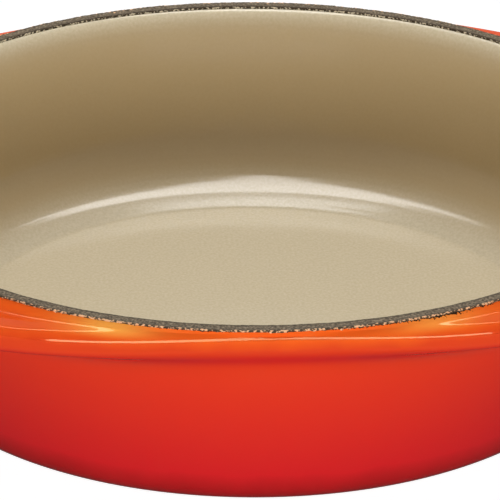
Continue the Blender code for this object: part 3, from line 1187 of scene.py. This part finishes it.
@dataclass(frozen=True)
class UndersideEnamel(Piece):
    """The dark red coat on the standing ring and in the recess."""

    finish: Finish = DarkRedEnamel()
    count: int = 360
    thickness: float = 0.35 * MM
    edge_rounding: float = 0.12 * MM
    corner_rounding: float = 0.04 * MM
    corner_steps: int = 3
    sharp_angle: float = math.radians(40.0)

    def build(self) -> bpy.types.Object:
        """The coat: its face from the axis to the ring's outside, and its back.

        Returns:
            The piece.
        """
        edge = FORM.base_edge(0.0, 1)[-1, 0]
        out = np.array([1.0, 0.0]) * self.edge_rounding
        up = np.array([0.0, 1.0]) * self.edge_rounding
        low, high = np.array([edge, 0.0]), np.array([edge, self.thickness])
        side = [low - out, low + up, high - up, high - out]
        section = np.concatenate([FORM.base(0.0)[::-1], side, FORM.base(self.thickness)])
        roundings = np.full((1, len(section) - 2, 2), self.corner_rounding)
        section = rounded_path(section[None], roundings, self.corner_steps, self.corner_steps)
        surface = round_surface(join_sections(self.count, section), Closing.POLES)
        mesh = surface_mesh("underside_enamel_coat", PIN_SPOTS.cut(surface))
        mesh.set_sharp_from_angle(angle=self.sharp_angle)
        return add_piece(mesh, "underside_enamel")


class LampShape(Enum):
    """A flat lamp's outline, with the share of its length times width that it fills."""

    RECTANGLE = 1.0
    ELLIPSE = math.pi / 4.0


@dataclass(frozen=True)
class SoftBox:
    """A flat studio lamp that faces the dish from the middle line and doesn't show in its gloss.

    Its elevation is counted in degrees from the front horizon over the zenith.
    """

    name: str
    elevation: float
    distance: float
    size: Pair
    radiance: float
    shape: LampShape = LampShape.RECTANGLE

    def build(self) -> None:
        """Adds the lamp."""
        lamp = bpy.data.lights.new(self.name, "AREA")
        lamp.shape = self.shape.name
        lamp.size, lamp.size_y = self.size
        lamp.energy = self.radiance * math.pi * self.size[0] * self.size[1] * self.shape.value
        tilt = Matrix.Rotation(math.radians(90.0 - self.elevation), 4, "X")
        middle = Matrix.Translation((0.0, 0.0, FORM.height))
        piece = add_object(self.name, lamp)
        piece.matrix_world = middle @ tilt @ Matrix.Translation((0.0, 0.0, self.distance))
        piece.visible_camera = False
        piece.visible_glossy = False


@dataclass(frozen=True)
class GlossPanel:
    """A glowing panel over the dish, which lights only the gloss.

    Its two wings are swept back and taper: at a share s of a wing, its middle line is at
    y = middle + sweep s^sweep_power, and it reaches half_depth (1 - s)^taper to both sides of that.
    Where the wings meet, the panel is moved to the right by its shift.
    """

    name: str
    half_width: float
    middle: float
    sweep: float
    half_depth: float
    taper: float
    shift: float
    radiance: float
    sweep_power: float = 1.5
    height: float = 1.03
    steps: int = 24

    def build(self) -> None:
        """Adds the panel."""
        share = np.linspace(-1.0, 1.0, 2 * self.steps + 1)
        middle = self.middle + self.sweep * np.abs(share) ** self.sweep_power
        half = self.half_depth * (1.0 - np.abs(share)) ** self.taper
        x = share * self.half_width + self.shift * (1.0 - np.abs(share))
        height = np.full_like(share, FORM.height + self.height)
        corners = [np.stack([x, y, height], axis=-1) for y in (middle - half, middle + half)]
        row = np.arange(2 * self.steps)
        faces = np.stack([row, row + 1, row + 1 + len(x), row + len(x)], axis=-1).tolist()
        panel, tree = add_sheet(self.name, f"{self.name} glow", np.concatenate(corners), faces)
        glow = add_node(tree, Kind.EMISSION, {"Strength": self.radiance}).outputs[0]
        tree.links.new(glow, tree.nodes["Material Output"].inputs["Surface"])
        panel.visible_camera = False
        panel.visible_diffuse = False
        panel.visible_shadow = False


@dataclass(frozen=True)
class Camera:
    """The photograph's camera, in a frame of 500 by 500 pixels."""

    frame_pixels: float = 500.0
    focal_pixels: float = 5000.0
    sensor_width: float = 36.0
    elevation: float = math.radians(23.38)
    distance: float = 1579.6 * MM
    rim_middle_pixel: Pair = (251.88, 153.98)
    roll: float = math.radians(-0.298)
    turn: float = math.radians(-3.0)

    def build(self) -> None:
        """Adds the camera, with the rim's middle on rim_middle_pixel and a slightly turned dish."""
        half = self.frame_pixels / 2.0
        yaw = math.atan((self.rim_middle_pixel[0] - half) / self.focal_pixels)
        pitch = self.elevation - math.atan((self.rim_middle_pixel[1] - half) / self.focal_pixels)
        data = bpy.data.cameras.new("camera")
        data.sensor_width = self.sensor_width
        data.lens = self.sensor_width * self.focal_pixels / self.frame_pixels
        camera = add_object("camera", data)
        forward = Vector(
            (-math.sin(yaw) * math.cos(pitch), math.cos(yaw) * math.cos(pitch), -math.sin(pitch))
        )
        place = Vector((0.0, -math.cos(self.elevation), math.sin(self.elevation))) * self.distance
        place.z += FORM.height
        facing = forward.to_track_quat("-Z", "Y").to_matrix().to_4x4()
        rolled = facing @ Matrix.Rotation(-self.roll, 4, "Z")
        turned = Matrix.Rotation(self.turn, 4, "Z") @ Matrix.Translation(place)
        camera.matrix_world = turned @ rolled
        bpy.context.scene.camera = camera


@dataclass(frozen=True)
class Studio:
    """A white floor and room, and soft lamps above, in front and behind."""

    floor_radius: float = 3.0
    floor_sides: int = 96
    floor_drop: float = 0.05 * MM
    floor_glow: float = 0.95
    floor_shade: float = 0.3
    floor_albedo: float = 0.6
    shadow_reach: Pair = (0.16, 0.32)
    mirror_reach: Pair = (0.3, 0.9)
    fill: float = 0.16
    ceiling: float = 0.15
    backdrop: float = 0.25
    backdrop_start: Pair = (0.7, 0.98)
    lamps: tuple[SoftBox, ...] = (
        SoftBox("overhead lamp", elevation=113.0, distance=1.1, size=(1.2, 0.5), radiance=6.4),
        SoftBox("front low lamp", elevation=5.0, distance=1.25, size=(1.6, 0.24), radiance=10.2),
        SoftBox(
            "back lamp",
            elevation=147.0,
            distance=1.1,
            size=(0.2, 0.5),
            radiance=3.4,
            shape=LampShape.ELLIPSE,
        ),
    )
    panels: tuple[GlossPanel, ...] = (
        GlossPanel(
            "overhead panel",
            half_width=0.74,
            middle=0.13,
            sweep=0.6,
            half_depth=0.26,
            taper=1.2,
            shift=-0.04,
            radiance=8.0,
        ),
        GlossPanel(
            "back panel",
            half_width=0.24,
            middle=0.525,
            sweep=0.05,
            half_depth=0.07,
            taper=0.5,
            shift=0.01,
            radiance=6.5,
        ),
    )

    def white_rays(self, tree: Tree, mirrored: Socket) -> Socket:
        """How white a ray sees the surroundings.

        Args:
            tree: The node tree.
            mirrored: How white a glossy ray sees them.

        Returns:
            1 for camera and transmission rays, the given share for glossy ones, and 0 for others.
        """
        path = add_node(tree, Kind.LIGHT_PATH, {}).outputs
        inputs = {0: path["Is Glossy Ray"], 1: mirrored, 2: path["Is Camera Ray"]}
        seen = add_node(tree, Kind.MATH, inputs, operation="MULTIPLY_ADD").outputs[0]
        inputs = {0: seen, 1: path["Is Transmission Ray"]}
        return add_node(tree, Kind.MATH, inputs, operation="ADD", use_clamp=True).outputs[0]

    def build_room(self) -> None:
        """Makes a white room with a soft fill. Gloss sees its pale backdrop and its dim ceiling."""
        world = bpy.data.worlds.new("white room")
        world.use_nodes = True
        tree = world.node_tree
        background = tree.nodes["Background"]
        background.inputs["Color"].default_value = linear("#FFFFFF")
        way = add_node(tree, Kind.PLACE, {}).outputs["Generated"]
        back = add_node(tree, Kind.SEPARATE, {"Vector": way}).outputs["Y"]
        start, end = self.backdrop_start
        inputs = {"Value": back, "From Min": start, "From Max": end}
        inputs |= {"To Min": self.ceiling, "To Max": self.backdrop}
        mirrored = add_node(tree, Kind.MAP_RANGE, inputs).outputs[0]
        inputs = {"Value": self.white_rays(tree, mirrored), "To Min": self.fill, "To Max": 1.0}
        strength = add_node(tree, Kind.MAP_RANGE, inputs).outputs[0]
        tree.links.new(strength, background.inputs["Strength"])
        bpy.context.scene.world = world

    def build_floor(self) -> None:
        """Lays a level white disc that keeps the dish's shadow and fades to plain white past it."""
        angle = directions(self.floor_sides)
        circle = np.stack([np.cos(angle), np.sin(angle), np.zeros_like(angle)], axis=-1)
        corners = circle * self.floor_radius - np.array([0.0, 0.0, self.floor_drop])
        tree = add_sheet("floor", "white floor", corners, [list(range(self.floor_sides))])[1]
        place = add_node(tree, Kind.PLACE, {}).outputs["Object"]
        distance = add_node(tree, Kind.VECTOR_MATH, {0: place}, operation="LENGTH").outputs["Value"]
        start, end = self.shadow_reach
        inputs = {"Value": distance, "From Min": start, "From Max": end}
        far = add_node(tree, Kind.MAP_RANGE, inputs).outputs[0]
        start, end = self.mirror_reach
        inputs = {"Value": distance, "From Min": start, "From Max": end}
        distant = add_node(tree, Kind.MAP_RANGE, inputs).outputs[0]
        shade = (*[self.floor_shade] * 3, 1.0)
        plain = (*[self.floor_albedo] * 3, 1.0)
        glow = add_node(tree, Kind.EMISSION, {"Strength": self.floor_glow}).outputs[0]
        lit = add_node(tree, Kind.DIFFUSE, {"Color": shade}).outputs[0]
        near = add_node(tree, Kind.ADD_SHADER, {0: glow, 1: lit}).outputs[0]
        white = add_node(tree, Kind.EMISSION, {"Strength": 1.0}).outputs[0]
        seen = add_node(tree, Kind.MIX_SHADER, {0: far, 1: near, 2: white}).outputs[0]
        unseen = add_node(tree, Kind.DIFFUSE, {"Color": plain}).outputs[0]
        inputs = {0: self.white_rays(tree, distant), 1: unseen, 2: seen}
        surface = add_node(tree, Kind.MIX_SHADER, inputs).outputs[0]
        tree.links.new(surface, tree.nodes["Material Output"].inputs["Surface"])

    def build(self) -> None:
        """Adds the room, the floor, the lamps and the panels."""
        self.build_room()
        self.build_floor()
        for light in (*self.lamps, *self.panels):
            light.build()


def main() -> None:
    """Builds the studio and the dish's pieces, in order, and reports each."""
    logging.basicConfig(level=logging.INFO, format="%(message)s")
    Camera().build()
    Studio().build()
    for maker in (IronCasting(), GroundCoat(), InnerEnamel(), OuterEnamel(), UndersideEnamel()):
        piece = maker.build()
        maker.dress(piece)
        LOG.info("%s: %d faces", piece.name, len(piece.data.polygons))
    bpy.context.scene.view_settings.view_transform = "Standard"


if __name__ == "__main__":
    main()
